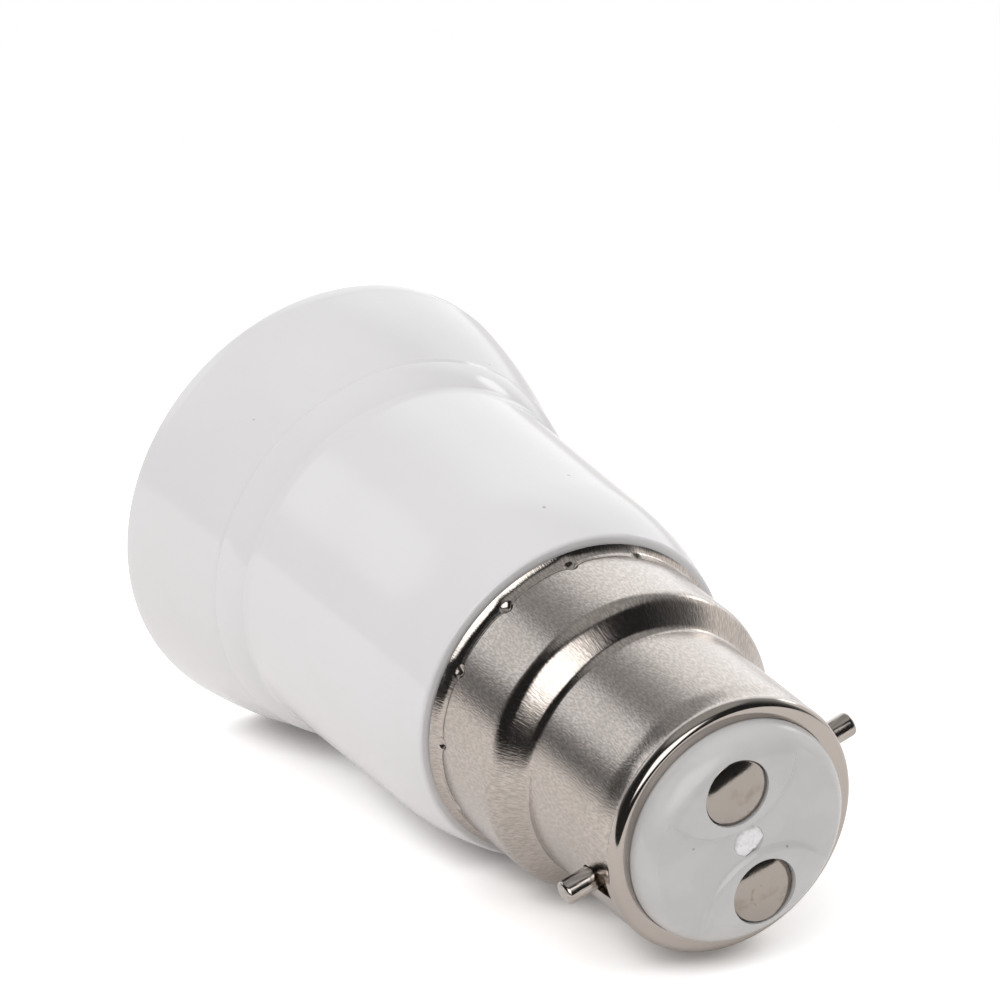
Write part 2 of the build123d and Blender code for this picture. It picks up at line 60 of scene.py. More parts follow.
def roundedProfile(corners, arcSteps=9, edgeShare=0.45, merge=1e-4):
    # Corners are (radius, height, rounding, bulge): each corner becomes an arc of its rounding, which takes
    # edgeShare of an edge at most, and each edge bows to the right of its direction by bulge times 4u(1-u)
    points = np.array([c[:2] for c in corners], float)
    rounding = [c[2] if len(c) > 2 else 0 for c in corners]
    bulge = [c[3] if len(c) > 3 else 0 for c in corners]
    steps = np.diff(points, axis=0)
    lengths = np.linalg.norm(steps, axis=1)
    along = steps / lengths[:, None]
    rows, leave = [], points[0]
    for i in range(len(along)):
        arrive, arc = points[i + 1], None
        if i + 1 < len(along) and rounding[i + 1] > 0:
            turn = np.arccos(np.clip(along[i] @ along[i + 1], -1, 1))
            reach = min(rounding[i + 1] * np.tan(turn / 2), edgeShare * lengths[i:i + 2].min())
            arrive = points[i + 1] - along[i] * reach
            arc = arcBetween(arrive, points[i + 1], points[i + 1] + along[i + 1] * reach, arcSteps)
        u = edgeSteps(np.linalg.norm(arrive - leave))[:, None]
        right = np.array([along[i][1], -along[i][0]])
        rows.append(leave + (arrive - leave) * u + right * bulge[i] * 4 * u * (1 - u))
        leave = arrive
        if arc is not None:
            rows.append(arc)
            leave = arc[-1]
    profile = np.concatenate(rows)
    apart = np.linalg.norm(np.diff(profile, axis=0), axis=1) > merge
    return profile[np.concatenate(([True], apart))]


def gridFaces(rows, cols):
    # Quads of a grid that closes on itself along its columns
    i, j = np.meshgrid(np.arange(rows - 1), np.arange(cols), indexing="ij")
    k = (j + 1) % cols
    low, high = i * cols, (i + 1) * cols
    return np.stack((low + j, low + k, high + k, high + j), axis=-1).reshape(-1, 4)


def closedGrid(surface, lowPole, highPole):
    # Grid that closes along its columns, with a fan of triangles from each end row to its pole
    rows, cols = surface.shape[:2]
    points = np.concatenate((surface.reshape(-1, 3), [lowPole, highPole]))
    j = np.arange(cols)
    k = (j + 1) % cols
    lastRow = (rows - 1) * cols
    lowFan = np.stack((np.full(cols, rows * cols), k, j), axis=1)
    highFan = np.stack((lastRow + j, lastRow + k, np.full(cols, rows * cols + 1)), axis=1)
    return points, [gridFaces(rows, cols), lowFan, highFan]


def closedLathe(profile, turns):
    # Surface of revolution about Z, (r cos a, r sin a, z) for each profile row and each angle a; the profile
    # starts and ends on the axis, and its end rows become the poles
    angle = np.linspace(0, 2 * np.pi, turns, endpoint=False)[None, :]
    r, z = profile[1:-1, :1], profile[1:-1, 1:]
    surface = np.stack((r * np.cos(angle), r * np.sin(angle), z + 0 * angle), axis=2)
    return closedGrid(surface, (0, 0, profile[0, 1]), (0, 0, profile[-1, 1]))


def sheetShell(outer, inner, keep):
    # Sheet between two grids with the same rows and columns: cells that keep leaves out become openings,
    # and every edge between a kept and an open cell gets a wall across the sheet
    rows, cols = outer.shape[:2]
    count = rows * cols
    points = np.concatenate((outer.reshape(-1, 3), inner.reshape(-1, 3)))
    cells = gridFaces(rows, cols)[keep.ravel()]
    faces = [cells, cells[:, ::-1] + count]
    padded = np.zeros((rows + 1, cols), bool)
    padded[1:-1] = keep
    i, j = np.meshgrid(np.arange(rows - 1), np.arange(cols), indexing="ij")
    k = (j + 1) % cols
    low, high = i * cols, (i + 1) * cols
    openings = (
        (np.roll(keep, -1, axis=1), high + k, low + k),
        (np.roll(keep, 1, axis=1), low + j, high + j),
        (padded[2:], high + j, high + k),
        (padded[:-2], low + k, low + j),
    )
    for neighbour, a, b in openings:
        edge = keep & ~neighbour
        first, second = a[edge], b[edge]
        faces.append(np.stack((first, second, second + count, first + count), axis=1))
    return points, faces


def buildPiece(name, points, faces, material, nodes, sharp=40):
    # Mesh from the arrays, without the points that no face uses; the piece stands for its CAD nodes
    used = np.unique(np.concatenate([block.ravel() for block in faces]))
    index = np.zeros(len(points), int)
    index[used] = np.arange(len(used))
    polygons = [face for block in faces for face in index[block].tolist()]
    mesh = bpy.data.meshes.new(name)
    mesh.from_pydata((points[used] * mm).tolist(), [], polygons)
    mesh.polygons.foreach_set("use_smooth", np.ones(len(polygons), bool))
    mesh.set_sharp_from_angle(angle=np.radians(sharp))
    mesh.materials.append(material)
    mesh.update()
    piece = bpy.data.objects.new(name, mesh)
    bpy.context.scene.collection.objects.link(piece)
    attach(piece, "adapter")
    if nodes:
        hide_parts(*nodes)
    print("piece:", name, len(polygons), "faces")
    return piece


# Node tools

def feedInputs(tree, node, inputs):
    # Each input is linked to another node's socket or set to a plain value
    for key, value in inputs.items():
        if isinstance(value, bpy.types.NodeSocket):
            tree.links.new(value, node.inputs[key])
        else:
            node.inputs[key].default_value = value


def addNode(tree, kind, inputs=None, **settings):
    # One node: settings are its own properties
    node = tree.nodes.new(kind)
    for key, value in settings.items():
        setattr(node, key, value)
    feedInputs(tree, node, inputs or {})
    return node


def newGroup(name, inputs, outputs):
    # Shader node group whose sockets are all plain numbers
    group = bpy.data.node_groups.new(name, "ShaderNodeTree")
    for title, start in inputs.items():
        socket = group.interface.new_socket(title, in_out="INPUT", socket_type="NodeSocketFloat")
        socket.default_value = start
    for title in outputs:
        group.interface.new_socket(title, in_out="OUTPUT", socket_type="NodeSocketFloat")
    return group, group.nodes.new("NodeGroupInput"), group.nodes.new("NodeGroupOutput")


def useGroup(tree, group, values):
    # Shared effect, placed with its own values
    return addNode(tree, "ShaderNodeGroup", values, node_tree=group)


def newMaterial(name):
    # Material with its node tree and its Principled shader
    material = bpy.data.materials.new(name)
    material.use_nodes = True
    return material, material.node_tree, material.node_tree.nodes["Principled BSDF"]


def objectPlace(tree):
    # Place on the piece, in metres of its own frame
    return addNode(tree, "ShaderNodeTexCoord").outputs["Object"]


def math(tree, operation, a, b=0.0):
    # Math node on sockets or plain numbers
    return addNode(tree, "ShaderNodeMath", {0: a, 1: b}, operation=operation).outputs[0]


def smoothRange(tree, socket, span, limits=(0.0, 1.0)):
    # Smooth step from one limit to the other while the socket crosses the span
    inputs = {"Value": socket, "From Min": span[0], "From Max": span[1],
              "To Min": limits[0], "To Max": limits[1]}
    return addNode(tree, "ShaderNodeMapRange", inputs, interpolation_type="SMOOTHSTEP").outputs["Result"]


def mixColor(tree, share, a, b):
    # Mix of two colours, each a socket or a plain colour: inputs 6 and 7 and output 2 of a Mix node
    return addNode(tree, "ShaderNodeMix", {"Factor": share, 6: a, 7: b}, data_type="RGBA").outputs[2]


def levelRamp(tree, socket, stops, tint=(1, 1, 1)):
    # Grey levels, lightly tinted, at given values of a socket that runs from -1 to 1
    share = addNode(tree, "ShaderNodeMapRange", {"Value": socket, "From Min": -1.0, "From Max": 1.0})
    ramp = addNode(tree, "ShaderNodeValToRGB", {"Fac": share.outputs["Result"]})
    while len(ramp.color_ramp.elements) < len(stops):
        ramp.color_ramp.elements.new(0.5)
    for element, (value, level) in zip(ramp.color_ramp.elements, stops):
        element.position = (value + 1) / 2
        element.color = tuple(level * t for t in tint) + (1,)
    return ramp.outputs["Color"]


def bumpFrom(tree, height, distance):
    # Normal over a height, with the depth of its full range in metres
    inputs = {"Height": height, "Distance": distance, "Strength": 1.0}
    return addNode(tree, "ShaderNodeBump", inputs).outputs["Normal"]


def mirroredRay(tree):
    # Light Path node, and 1 for rays that a shiny or a clear surface sends out
    path = addNode(tree, "ShaderNodeLightPath")
    return path, math(tree, "MAXIMUM", path.outputs["Is Glossy Ray"], path.outputs["Is Transmission Ray"])


# Shared effects

def strokeGroup(fadeRate=2000.0):
    # Fine strokes round or along an axis: noise on (turn x radius, height, distance), squeezed across them;
    # they fade in below Top at fadeRate per metre
    inputs = {"Radius": 0.011, "Across": 6000.0, "Along": 1200.0, "Top": 1.0}
    group, given, result = newGroup("drawnStrokes", inputs, ("Height",))
    place = objectPlace(group)
    split = addNode(group, "ShaderNodeSeparateXYZ", {"Vector": place})
    turn = math(group, "ARCTAN2", split.outputs["Y"], split.outputs["X"])
    arc = math(group, "MULTIPLY", turn, given.outputs["Radius"])
    spread = addNode(group, "ShaderNodeVectorMath", {0: place}, operation="LENGTH")
    vector = addNode(group, "ShaderNodeCombineXYZ", {
        "X": math(group, "MULTIPLY", arc, given.outputs["Across"]),
        "Y": math(group, "MULTIPLY", split.outputs["Z"], given.outputs["Along"]),
        "Z": math(group, "MULTIPLY", spread.outputs["Value"], given.outputs["Along"]),
    })
    noise = addNode(group, "ShaderNodeTexNoise",
                    {"Vector": vector.outputs[0], "Scale": 1.0, "Detail": 3.0, "Roughness": 0.6})
    under = math(group, "SUBTRACT", given.outputs["Top"], split.outputs["Z"])
    below = math(group, "MAXIMUM", math(group, "MULTIPLY", under, fadeRate), 0.0)
    below = math(group, "MINIMUM", below, 1.0)
    level = math(group, "MULTIPLY", math(group, "SUBTRACT", noise.outputs["Fac"], 0.5), below)
    feedInputs(group, result, {"Height": math(group, "ADD", level, 0.5)})
    return group


def mottleGroup():
    # Cloudy change over a surface: noise as a height, and as a mask where it rises from Low to High
    inputs = {"Scale": 120.0, "Low": 0.4, "High": 0.65}
    group, given, result = newGroup("softMottle", inputs, ("Mask", "Height"))
    noise = addNode(group, "ShaderNodeTexNoise", {
        "Vector": objectPlace(group), "Scale": given.outputs["Scale"], "Detail": 4.0, "Roughness": 0.55,
    })
    mask = smoothRange(group, noise.outputs["Fac"], (given.outputs["Low"], given.outputs["High"]))
    feedInputs(group, result, {"Mask": mask, "Height": noise.outputs["Fac"]})
    return group


def speckGroup():
    # Few small specks: dots at random cell points, kept where the cell's own random value is over Chance
    inputs = {"Scale": 300.0, "Size": 0.05, "Chance": 0.96}
    group, given, result = newGroup("straySpecks", inputs, ("Mask",))
    cells = addNode(group, "ShaderNodeTexVoronoi",
                    {"Vector": objectPlace(group), "Scale": given.outputs["Scale"]})
    pick = addNode(group, "ShaderNodeSeparateColor", {"Color": cells.outputs["Color"]})
    chosen = math(group, "GREATER_THAN", pick.outputs["Red"], given.outputs["Chance"])
    inside = math(group, "LESS_THAN", cells.outputs["Distance"], given.outputs["Size"])
    feedInputs(group, result, {"Mask": math(group, "MULTIPLY", chosen, inside)})
    return group


def scratchGroup():
    # Hairline scratches: thin level lines of a stretched noise, broken up by a second noise
    inputs = {"Scale": 400.0, "Width": 0.006, "Chance": 0.58}
    group, given, result = newGroup("hairScratches", inputs, ("Mask",))
    place, scale = objectPlace(group), given.outputs["Scale"]
    turned = addNode(group, "ShaderNodeMapping",
                     {"Vector": place, "Rotation": (0.3, 0.5, 0.7), "Scale": (1.0, 0.16, 1.0)})
    lines = addNode(group, "ShaderNodeTexNoise", {"Vector": turned.outputs[0], "Scale": scale, "Detail": 1.0})
    level = math(group, "ABSOLUTE", math(group, "SUBTRACT", lines.outputs["Fac"], 0.5))
    thin = math(group, "LESS_THAN", level, given.outputs["Width"])
    patches = addNode(group, "ShaderNodeTexNoise", {"Vector": place, "Scale": scale, "Detail": 2.0})
    broken = math(group, "GREATER_THAN", patches.outputs["Fac"], given.outputs["Chance"])
    feedInputs(group, result, {"Mask": math(group, "MULTIPLY", thin, broken)})
    return group


def cloudyRoughness(tree, cloud, limits, span=(0.35, 0.65)):
    # Roughness between two limits that follows a cloud's height over the span where most of it lies
    return smoothRange(tree, cloud.outputs["Height"], span, limits)


drawnStrokes = strokeGroup()
softMottle = mottleGroup()
straySpecks = speckGroup()
hairScratches = scratchGroup()
print("groups: drawnStrokes, softMottle, straySpecks, hairScratches")


# Finishes

whitePlastic = {
    "color": (0.706, 0.692, 0.699, 1), "warmer": (0.696, 0.682, 0.685, 1), "speck": (0.45, 0.44, 0.42, 1),
    "ior": 1.46, "roughness": (0.10, 0.14),
    "cloud": {"Scale": 90.0}, "skin": {"Scale": 700.0},
    "dots": {"Scale": 260.0, "Size": 0.04, "Chance": 0.5},
    "peel": 1.0e-6,  # metres, depth of the moulded skin's ripple
}


def makeWhitePlastic(s):
    # Gloss with slow warmer clouds, a few specks and a faint ripple
    material, tree, shader = newMaterial("glossyWhitePlastic")
    cloud = useGroup(tree, softMottle, s["cloud"])
    skin = useGroup(tree, softMottle, s["skin"])
    dots = useGroup(tree, straySpecks, s["dots"])
    tint = mixColor(tree, cloud.outputs["Mask"], s["color"], s["warmer"])
    feedInputs(tree, shader, {
        "IOR": s["ior"],
        "Base Color": mixColor(tree, dots.outputs["Mask"], tint, s["speck"]),
        "Roughness": cloudyRoughness(tree, cloud, s["roughness"]),
        "Normal": bumpFrom(tree, skin.outputs["Height"], s["peel"]),
    })
    return material


nickelPlate = {
    "color": (0.53, 0.478, 0.442, 1), "shade": (0.50, 0.448, 0.411, 1), "strokeShade": (0.395, 0.355, 0.324, 1),
    "roughness": (0.10, 0.16), "cloud": {"Scale": 200.0},
    "strokes": {"Radius": 0.012, "Across": 8200.0, "Along": 1700.0, "Top": 0.0634},
    "strokeShadeSpan": (0.40, 0.62),  # stroke heights over which the painted shade at the bottom of each stroke gives way
    "depth": 1.5e-5,  # metres, depth of the drawing strokes
}


def makeNickel(name, s):
    # Plated sheet with drawing strokes; the bottom of each stroke is a darker colour, partly the grain of the
    # drawing and partly painted shade for the strokes' speckled reflections
    material, tree, shader = newMaterial(name)
    strokes = useGroup(tree, drawnStrokes, s["strokes"])
    cloud = useGroup(tree, softMottle, s["cloud"])
    tint = mixColor(tree, cloud.outputs["Mask"], s["color"], s["shade"])
    # Painted shade and grain: the bottom of each stroke gets the darker colour
    bright = smoothRange(tree, strokes.outputs["Height"], s["strokeShadeSpan"])
    feedInputs(tree, shader, {
        "Metallic": 1.0,
        "Base Color": mixColor(tree, bright, s["strokeShade"], tint),
        "Roughness": cloudyRoughness(tree, cloud, s["roughness"]),
        "Normal": bumpFrom(tree, strokes.outputs["Height"], s["depth"]),
    })
    return material


greyPlastic = {
    "color": (0.520, 0.511, 0.507, 1), "paler": (0.550, 0.541, 0.537, 1), "speck": (0.33, 0.33, 0.32, 1),
    "shadeInside": (0.20, 0.15, 0.12, 1),  # painted shade inside the metal, seen through the pin slots
    "shadeInsideTop": 0.0637,  # metres, top of the painted shade
    "ior": 1.48, "roughness": (0.20, 0.27),
    "cloud": {"Scale": 240.0}, "skin": {"Scale": 2600.0},
    "dots": {"Scale": 420.0, "Size": 0.05, "Chance": 0.55},
    "peel": 3.0e-6,  # metres
}


def makeGreyPlastic(s):
    # Satin moulding with pale clouds and specks, and painted brown shade below the height that the metal
    # covers
    material, tree, shader = newMaterial("paleGreyPlastic")
    cloud = useGroup(tree, softMottle, s["cloud"])
    skin = useGroup(tree, softMottle, s["skin"])
    dots = useGroup(tree, straySpecks, s["dots"])
    tint = mixColor(tree, cloud.outputs["Mask"], s["color"], s["paler"])
    tint = mixColor(tree, dots.outputs["Mask"], tint, s["speck"])
    split = addNode(tree, "ShaderNodeSeparateXYZ", {"Vector": objectPlace(tree)})
    # Painted shade: dark below the height that the metal covers
    hidden = math(tree, "LESS_THAN", split.outputs["Z"], s["shadeInsideTop"])
    feedInputs(tree, shader, {
        "IOR": s["ior"],
        "Base Color": mixColor(tree, hidden, tint, s["shadeInside"]),
        "Roughness": cloudyRoughness(tree, cloud, s["roughness"]),
        "Normal": bumpFrom(tree, skin.outputs["Height"], s["peel"]),
    })
    return material


tornPlastic = {
    # The second colour is painted shade for the low spots of the broken face
    "color": (0.83, 0.82, 0.825, 1), "hollow": (0.74, 0.73, 0.735, 1), "roughness": 0.55,
    "crumbs": {"Scale": 3600.0, "Low": 0.35, "High": 0.6},
    "depth": 6.0e-6,  # metres
}


def makeTornPlastic(s):
    # Broken face, with painted shade where its crumbs are low
    material, tree, shader = newMaterial("tornWhitePlastic")
    crumbs = useGroup(tree, softMottle, s["crumbs"])
    feedInputs(tree, shader, {
        "Base Color": mixColor(tree, crumbs.outputs["Mask"], s["hollow"], s["color"]),
        "Roughness": s["roughness"],
        "Normal": bumpFrom(tree, crumbs.outputs["Height"], s["depth"]),
    })
    return material


plainMetals = {  # colour, stain, roughness
    "contactNickel": ((0.37, 0.333, 0.303, 1), (0.31, 0.265, 0.225, 1), (0.09, 0.15)),
    "screwAluminium": ((0.72, 0.72, 0.71, 1), (0.58, 0.58, 0.57, 1), (0.24, 0.36)),
    "rivetBrass": ((0.60, 0.46, 0.24, 1), (0.42, 0.30, 0.15, 1), (0.28, 0.42)),
    "springBrass": ((0.68, 0.52, 0.26, 1), (0.50, 0.36, 0.17, 1), (0.20, 0.32)),
    "dullSolder": ((0.60, 0.60, 0.61, 1), (0.42, 0.42, 0.43, 1), (0.34, 0.50)),
}
metalSkin = {
    "cloud": {"Scale": 520.0, "Low": 0.5, "High": 0.72}, "grain": {"Scale": 5200.0},
    "marks": {"Scale": 620.0, "Width": 0.007, "Chance": 0.6},
    "depth": 3.0e-6,  # metres
}


def makePlainMetal(name, color, stain, roughness, s):
    # Bare metal with stained clouds, hairline marks and a fine grain
    material, tree, shader = newMaterial(name)
    cloud = useGroup(tree, softMottle, s["cloud"])
    grain = useGroup(tree, softMottle, s["grain"])
    marks = useGroup(tree, hairScratches, s["marks"])
    tint = mixColor(tree, cloud.outputs["Mask"], color, stain)
    feedInputs(tree, shader, {
        "Metallic": 1.0,
        "Base Color": mixColor(tree, marks.outputs["Mask"], tint, stain),
        "Roughness": cloudyRoughness(tree, cloud, roughness),
        "Normal": bumpFrom(tree, grain.outputs["Height"], s["depth"]),
    })
    return material


wireSleeve = {
    "color": (0.74, 0.73, 0.69, 1), "grubby": (0.62, 0.60, 0.55, 1),
    "ior": 1.5, "roughness": (0.38, 0.5), "cloud": {"Scale": 480.0},
}


def makeWireSleeve(s):
    # Matt sleeve with grubby clouds
    material, tree, shader = newMaterial("wireSleeve")
    cloud = useGroup(tree, softMottle, s["cloud"])
    feedInputs(tree, shader, {
        "IOR": s["ior"],
        "Base Color": mixColor(tree, cloud.outputs["Mask"], s["color"], s["grubby"]),
        "Roughness": cloudyRoughness(tree, cloud, s["roughness"]),
    })
    return material


whiteFinish = makeWhitePlastic(whitePlastic)
nickelFinish = makeNickel("drawnNickel", nickelPlate)
pinFinish = makeNickel("pinNickel", nickelPlate)
greyFinish = makeGreyPlastic(greyPlastic)
tornFinish = makeTornPlastic(tornPlastic)
metalFinish = {name: makePlainMetal(name, *looks, metalSkin) for name, looks in plainMetals.items()}
sleeveFinish = makeWireSleeve(wireSleeve)
print("materials:", len(bpy.data.materials))


# Housing

housing = {
    "turns": 288,
    "floorLow": 33.0, "floorHigh": 35.5,
    "boreRadius": 13.95, "boreFront": 12.1, "funnelRadius": 14.5,
    "mouthBore": 17.6, "mouthBoreEdge": 0.15,
    "mouthRadius": 19.55, "mouthEdge": 1.0, "mouthSide": 1.35, "sideRound": 3.0,
    "flareTop": (17.27, 11.0), "flareBulge": 0.23, "flareRound": 1.5,
    "crease": (17.06, 11.46), "creaseEdge": 0.1,
    "neckBase": (17.22, 11.60), "neckEdge": 0.3,
    "neckTop": (15.96, 14.85), "neckBulge": 0.17, "neckRound": 3.0,
    "waist": (15.5, 32.4), "bodyEnd": (14.3, 40.2), "endBulge": 0.254, "endEdge": 0.35,
    "spigotRadius": 12.62, "spigotEnd": 46.2, "spigotEdge": 0.1,
    "chamberRadius": 11.32, "chamberEdge": 0.2,
    "grooveHeight": 41.54, "grooveHalf": 0.85, "grooveDepth": 0.4,
    "softEdge": 0.05,
}


def makeHousing(s):
    # One profile turned about Z: floor, socket bore, funnel, mouth, flare, neck band, body, spigot, chamber
    soft = s["softEdge"]
    grooveLow = s["grooveHeight"] - s["grooveHalf"]
    grooveHigh = s["grooveHeight"] + s["grooveHalf"]
    corners = [
        (0, s["floorLow"]),
        (s["boreRadius"], s["floorLow"], soft),
        (s["boreRadius"], s["boreFront"], soft),
        (s["funnelRadius"], s["boreFront"], soft),
        (s["mouthBore"], 0, s["mouthBoreEdge"]),
        (s["mouthRadius"], 0, s["mouthEdge"]),
        (s["mouthRadius"], s["mouthSide"], s["sideRound"], s["flareBulge"]),
        (*s["flareTop"], s["flareRound"]),
        (*s["crease"], s["creaseEdge"]),
        (*s["neckBase"], s["neckEdge"], s["neckBulge"]),
        (*s["neckTop"], s["neckRound"]),
        (*s["waist"], 0, s["endBulge"]),
        (*s["bodyEnd"], s["endEdge"]),
        (s["spigotRadius"], s["bodyEnd"][1], soft),
        (s["spigotRadius"], grooveLow, soft),
        (s["spigotRadius"] - s["grooveDepth"], s["grooveHeight"], soft),
        (s["spigotRadius"], grooveHigh, soft),
        (s["spigotRadius"], s["spigotEnd"], s["spigotEdge"]),
        (s["chamberRadius"], s["spigotEnd"], s["spigotEdge"]),
        (s["chamberRadius"], s["floorHigh"], s["chamberEdge"]),
        (0, s["floorHigh"]),
    ]
    points, faces = closedLathe(roundedProfile(corners), s["turns"])
    return buildPiece("moulded_housing", points, faces, whiteFinish, ["housing"])


makeHousing(housing)


# Bayonet shell

shell = {
    "wall": 0.4,
    "lipRadius": 13.65, "lipDrop": 0.98, "lipPower": 2.5,
    "rollTurn": 44.06, "rollShare": 0.62,  # degrees of the cone, share of the convex bend
    "creaseHeight": 41.541, "creaseDepth": 0.03, "creaseHalf": 0.09, "creaseRise": (0.05, 1.0),
    "skirtRadius": 13.1, "skirtTop": 48.091,
    "barrelRadius": 11.0, "barrelStart": 51.491, "barrelGap": 0.3,  # first row above the shoulder
    "grooveLow": 60.7, "grooveHigh": 63.091, "grooveDepth": 0.13, "grooveDeepest": 0.84,
    "rimHeight": 63.941, "cornerWidth": 0.6, "rimHole": 9.5, "rimDip": 0.07,
    "pinHeight": 60.191, "slotHalf": 1.105, "slotReach": 2.105, "slotFade": 3.5,
    "underPin": (3.5, 2.0, 1.2, 0.75, 0.5, 0.34, 0.22, 0.13, 0.06, 0.0),  # rows below the pin's middle
    "burrRise": 0.09, "burrHalf": 0.16, "burrRagged": 0.35, "burrWaves": 9, "burrPhase": 2.0,
    "stakes": 13, "firstStake": -17.4,  # degrees
    "pitRadius": 0.56, "pitDepth": 0.3, "pitPower": 1.2, "pitDrop": 0.55,  # share of the scallop's rise
    "scallopRise": 0.38, "scallopHalf": 0.75, "scallopFade": 1.4,
    "denseHalf": 2.8, "slotClear": 0.15,  # degrees
    "denseSteps": 15, "sparseSteps": 12, "slotColumns": 19,
    "lipRows": 17, "creaseRows": 17, "skirtRows": 8, "bendRows": 14, "coneRows": 6, "barrelRows": 5,
    "pinRows": 3, "slotRows": 10, "grooveRows": 15, "cornerRows": 15, "rimRows": 9,
}


def stakeDistance(s, angle):
    # Arc length to the nearest punch mark
    pitch = 2 * np.pi / s["stakes"]
    first = np.radians(s["firstStake"])
    return ((angle - first + pitch / 2) % pitch - pitch / 2) * s["skirtRadius"]


def shellAngles(s):
    # Angles packed close round each punch mark and across the two pin slots
    pitch = 360 / s["stakes"]
    dense = np.linspace(-s["denseHalf"], s["denseHalf"], s["denseSteps"])
    sparse = np.linspace(s["denseHalf"], pitch - s["denseHalf"], s["sparseSteps"] + 1)[1:-1]
    centres = s["firstStake"] + pitch * np.arange(s["stakes"])
    angles = (centres[:, None] + np.concatenate((dense, sparse))[None, :]).ravel() % 360
    across = s["slotHalf"] * np.sin(np.linspace(-np.pi / 2, np.pi / 2, s["slotColumns"]))
    slot = np.degrees(np.arcsin(across / s["barrelRadius"]))
    slots = np.concatenate((slot % 360, 180 + slot))
    gap = np.abs(angles[:, None] - slots[None, :]).min(axis=1)
    return np.radians(np.sort(np.concatenate((angles[gap > s["slotClear"]], slots)))), slot[-1]


def rollProfile(step, height, s):
    # Arc, cone and arc that lead from straight up, inwards by step over height, to straight up again
    turn = np.radians(s["rollTurn"])
    bends = (height - step / np.tan(turn)) / np.tan(turn / 2)
    convexBend, concaveBend = s["rollShare"] * bends, (1 - s["rollShare"]) * bends
    a = np.linspace(0, turn, s["bendRows"])
    convex = np.stack((convexBend * (np.cos(a) - 1), convexBend * np.sin(a)), axis=1)[1:]
    b = a[::-1]
    concave = np.stack((concaveBend * (1 - np.cos(b)) - step, height - concaveBend * np.sin(b)), axis=1)
    cone = convex[-1] + np.linspace(0, 1, s["coneRows"])[1:-1, None] * (concave[0] - convex[-1])
    return np.concatenate((convex, cone, concave))


def shellProfile(s):
    # Rows from the lip's edge to the rim's hole: (radius, height, share of the scallop that lifts the row)
    t = np.linspace(1, 0, s["lipRows"])
    flare = (s["lipRadius"] - s["skirtRadius"]) * t ** s["lipPower"]
    lip = np.stack((s["skirtRadius"] + flare, s["creaseHeight"] - s["lipDrop"] * t, 1 - t), axis=1)
    rise = np.concatenate((np.linspace(*s["creaseRise"], s["creaseRows"]),
                           np.linspace(s["scallopFade"], s["skirtTop"] - s["creaseHeight"], s["skirtRows"])))
    lifted = np.clip(1 - rise / s["scallopFade"], 0, 1)
    skirt = np.stack((np.full(len(rise), s["skirtRadius"]), s["creaseHeight"] + rise, lifted), axis=1)
    step, height = s["skirtRadius"] - s["barrelRadius"], s["barrelStart"] - s["skirtTop"]
    shoulder = rollProfile(step, height, s) + [s["skirtRadius"], s["skirtTop"]]
    below = s["pinHeight"] - np.array(s["underPin"])
    z = np.concatenate((np.linspace(s["barrelStart"] + s["barrelGap"], below[0], s["barrelRows"])[:-1], below,
                        np.linspace(s["pinHeight"], s["grooveLow"], s["pinRows"])[1:]))
    barrel = np.stack((np.full(len(z), s["barrelRadius"]), z), axis=1)
    slotTop = s["pinHeight"] + s["slotReach"]
    z = np.concatenate((np.linspace(s["grooveLow"], slotTop, s["slotRows"])[1:],
                        np.linspace(slotTop, s["grooveHigh"], s["grooveRows"])[1:]))
    u = (z - s["grooveLow"]) / (s["grooveHigh"] - s["grooveLow"])
    fall = np.minimum(u / s["grooveDeepest"], (1 - u) / (1 - s["grooveDeepest"]))
    sunk = s["grooveDepth"] * fall ** 2 * (3 - 2 * fall)
    groove = np.stack((s["barrelRadius"] - sunk, z), axis=1)
    c = np.linspace(0, np.pi / 2, s["cornerRows"])[1:]
    corner = np.stack((s["barrelRadius"] - s["cornerWidth"] * (1 - np.cos(c)),
                       s["grooveHigh"] + (s["rimHeight"] - s["grooveHigh"]) * np.sin(c)), axis=1)
    u = np.linspace(0, 1, s["rimRows"])[1:]
    face = s["barrelRadius"] - s["cornerWidth"]
    rim = np.stack((face + (s["rimHole"] - face) * u, s["rimHeight"] - s["rimDip"] * u ** 2), axis=1)
    upper = np.concatenate((shoulder, barrel, groove, corner, rim))
    upper = np.concatenate((upper, np.zeros((len(upper), 1))), axis=1)
    return np.concatenate((lip, skirt, upper)), slotTop


